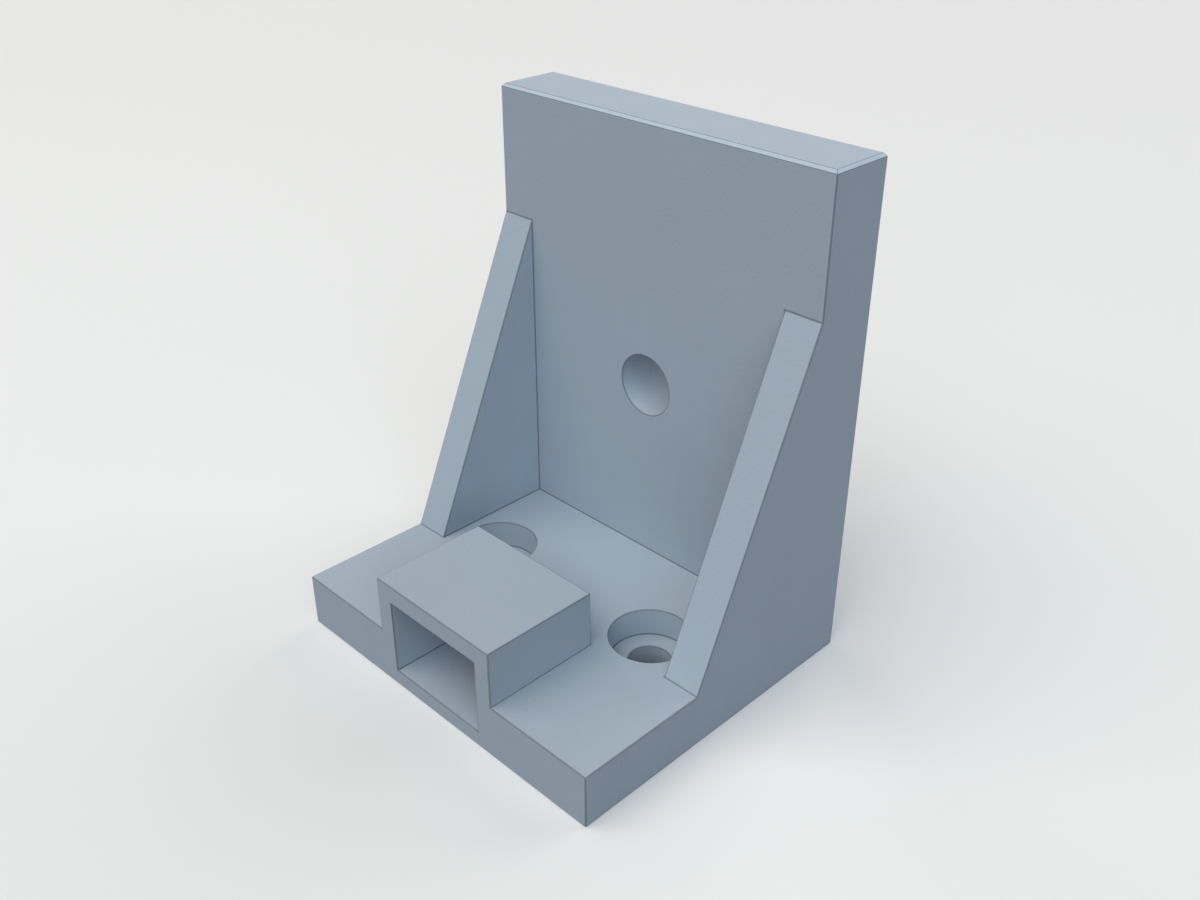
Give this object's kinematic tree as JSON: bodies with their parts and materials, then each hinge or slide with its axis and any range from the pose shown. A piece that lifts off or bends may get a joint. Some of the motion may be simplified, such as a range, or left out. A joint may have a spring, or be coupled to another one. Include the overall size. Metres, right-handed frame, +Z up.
{
  "type": "bearing support bracket",
  "caption": "Upright bracket that holds a bearing's bolt in a plate braced by side gussets, on a base with recessed screw holes and a hollow block at its front.",
  "frame": {"origin": "middle of the base's underside", "axes": "+X to the right across the bracket, +Y from the front of the base towards the upright plate at its back, +Z up"},
  "size_m": [0.04, 0.035, 0.0507],
  "materials": {
    "bracket": "matte"
  },
  "bodies": {
    "root": {"bracket": "bracket"}
  },
  "joints": []
}
